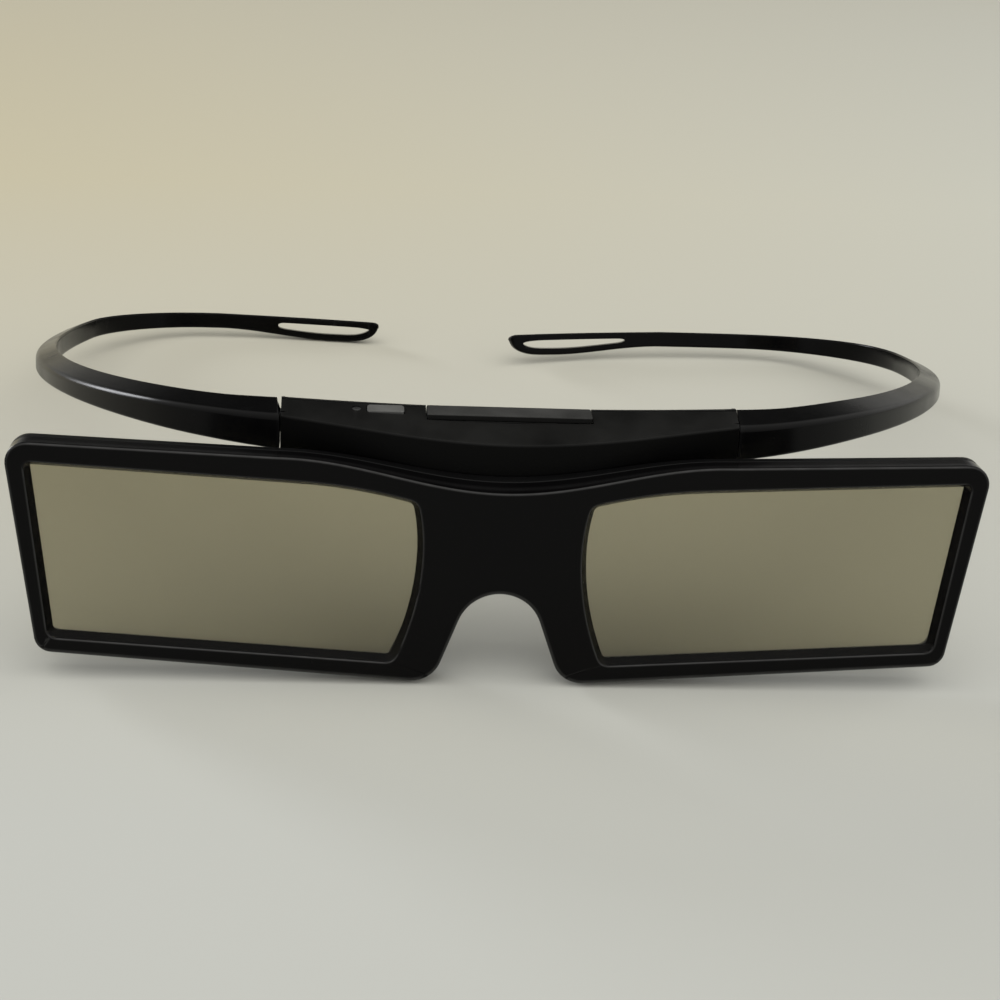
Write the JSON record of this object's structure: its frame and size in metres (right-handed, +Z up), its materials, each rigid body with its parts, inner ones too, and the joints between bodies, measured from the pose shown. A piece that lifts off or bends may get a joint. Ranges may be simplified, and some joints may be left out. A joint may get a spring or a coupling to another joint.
{
  "type": "active shutter 3d glasses",
  "caption": "Rimmed shutter glasses with smoked trapezoid lenses, a raised brow with a slide-out coin cell, and plug-in temples that curve round to open loops.",
  "frame": {"origin": "middle of the footprint, on the table that the nose feet and the left temple's tip stand on", "axes": "+X to the right as seen from the front, +Y back towards the temple tips, +Z up"},
  "size_m": [0.1846, 0.1594, 0.0417],
  "materials": {
    "frame_gloss": "polished black moulding",
    "frame_matte": "satin black moulding",
    "lens": "smoked shutter lens",
    "gasket": "black foam",
    "flex": "amber film",
    "brow": "satin black moulding",
    "temple": "polished black moulding",
    "board": "green solder mask",
    "connector": "ivory plastic",
    "can": "plated",
    "chip": "black moulding",
    "ferrite": "sintered",
    "led": "clear resin",
    "light_pipe": "frosted clear plastic",
    "button": "satin grey-black moulding",
    "contact": "plated spring",
    "tray": "satin black moulding",
    "cell": "drawn can",
    "screw": "plated"
  },
  "bodies": {
    "glasses": {"front_frame": "frame_gloss", "rear_frame": "frame_matte", "lens_left": "lens", "lens_right": "lens", "lens_gasket_left": "gasket", "lens_gasket_right": "gasket", "lens_flex_left": "flex", "lens_flex_right": "flex", "brow_housing": "brow", "brow_rear_cover": "frame_matte", "main_board": "board", "flex_connectors": "connector", "radio_can": "can", "controller_chip": "chip", "boost_coil": "ferrite", "crystal": "can", "chip_antenna": "connector", "tact_switch": "chip", "power_led": "led", "light_pipe": "light_pipe", "battery_contact_negative": "contact", "battery_contact_positive": "contact", "cover_screws": "screw", "bridge_screws": "screw", "board_screws": "screw"},
    "tray": {"battery_tray": "tray", "coin_cell": "cell"},
    "left_temple": {"temple_left": "temple"},
    "right_temple": {"temple_right": "temple"},
    "button": {"power_button": "button"}
  },
  "joints": [
    {"name": "tray_slide", "type": "slide", "parent": "glasses", "child": "tray", "axis": [0, 0.1219, 0.9925], "range_m": [0, 0.024]},
    {"name": "left_temple_plug", "type": "slide", "parent": "glasses", "child": "left_temple", "axis": [-1, 0, 0], "range_m": [0, 0.01]},
    {"name": "right_temple_plug", "type": "slide", "parent": "glasses", "child": "right_temple", "axis": [1, 0, 0], "range_m": [0, 0.01]},
    {"name": "button_press", "type": "slide", "parent": "glasses", "child": "button", "axis": [0, -0.1219, -0.9925], "range_m": [0, 0.0004], "stiffness_N_per_m": 2500}
  ]
}
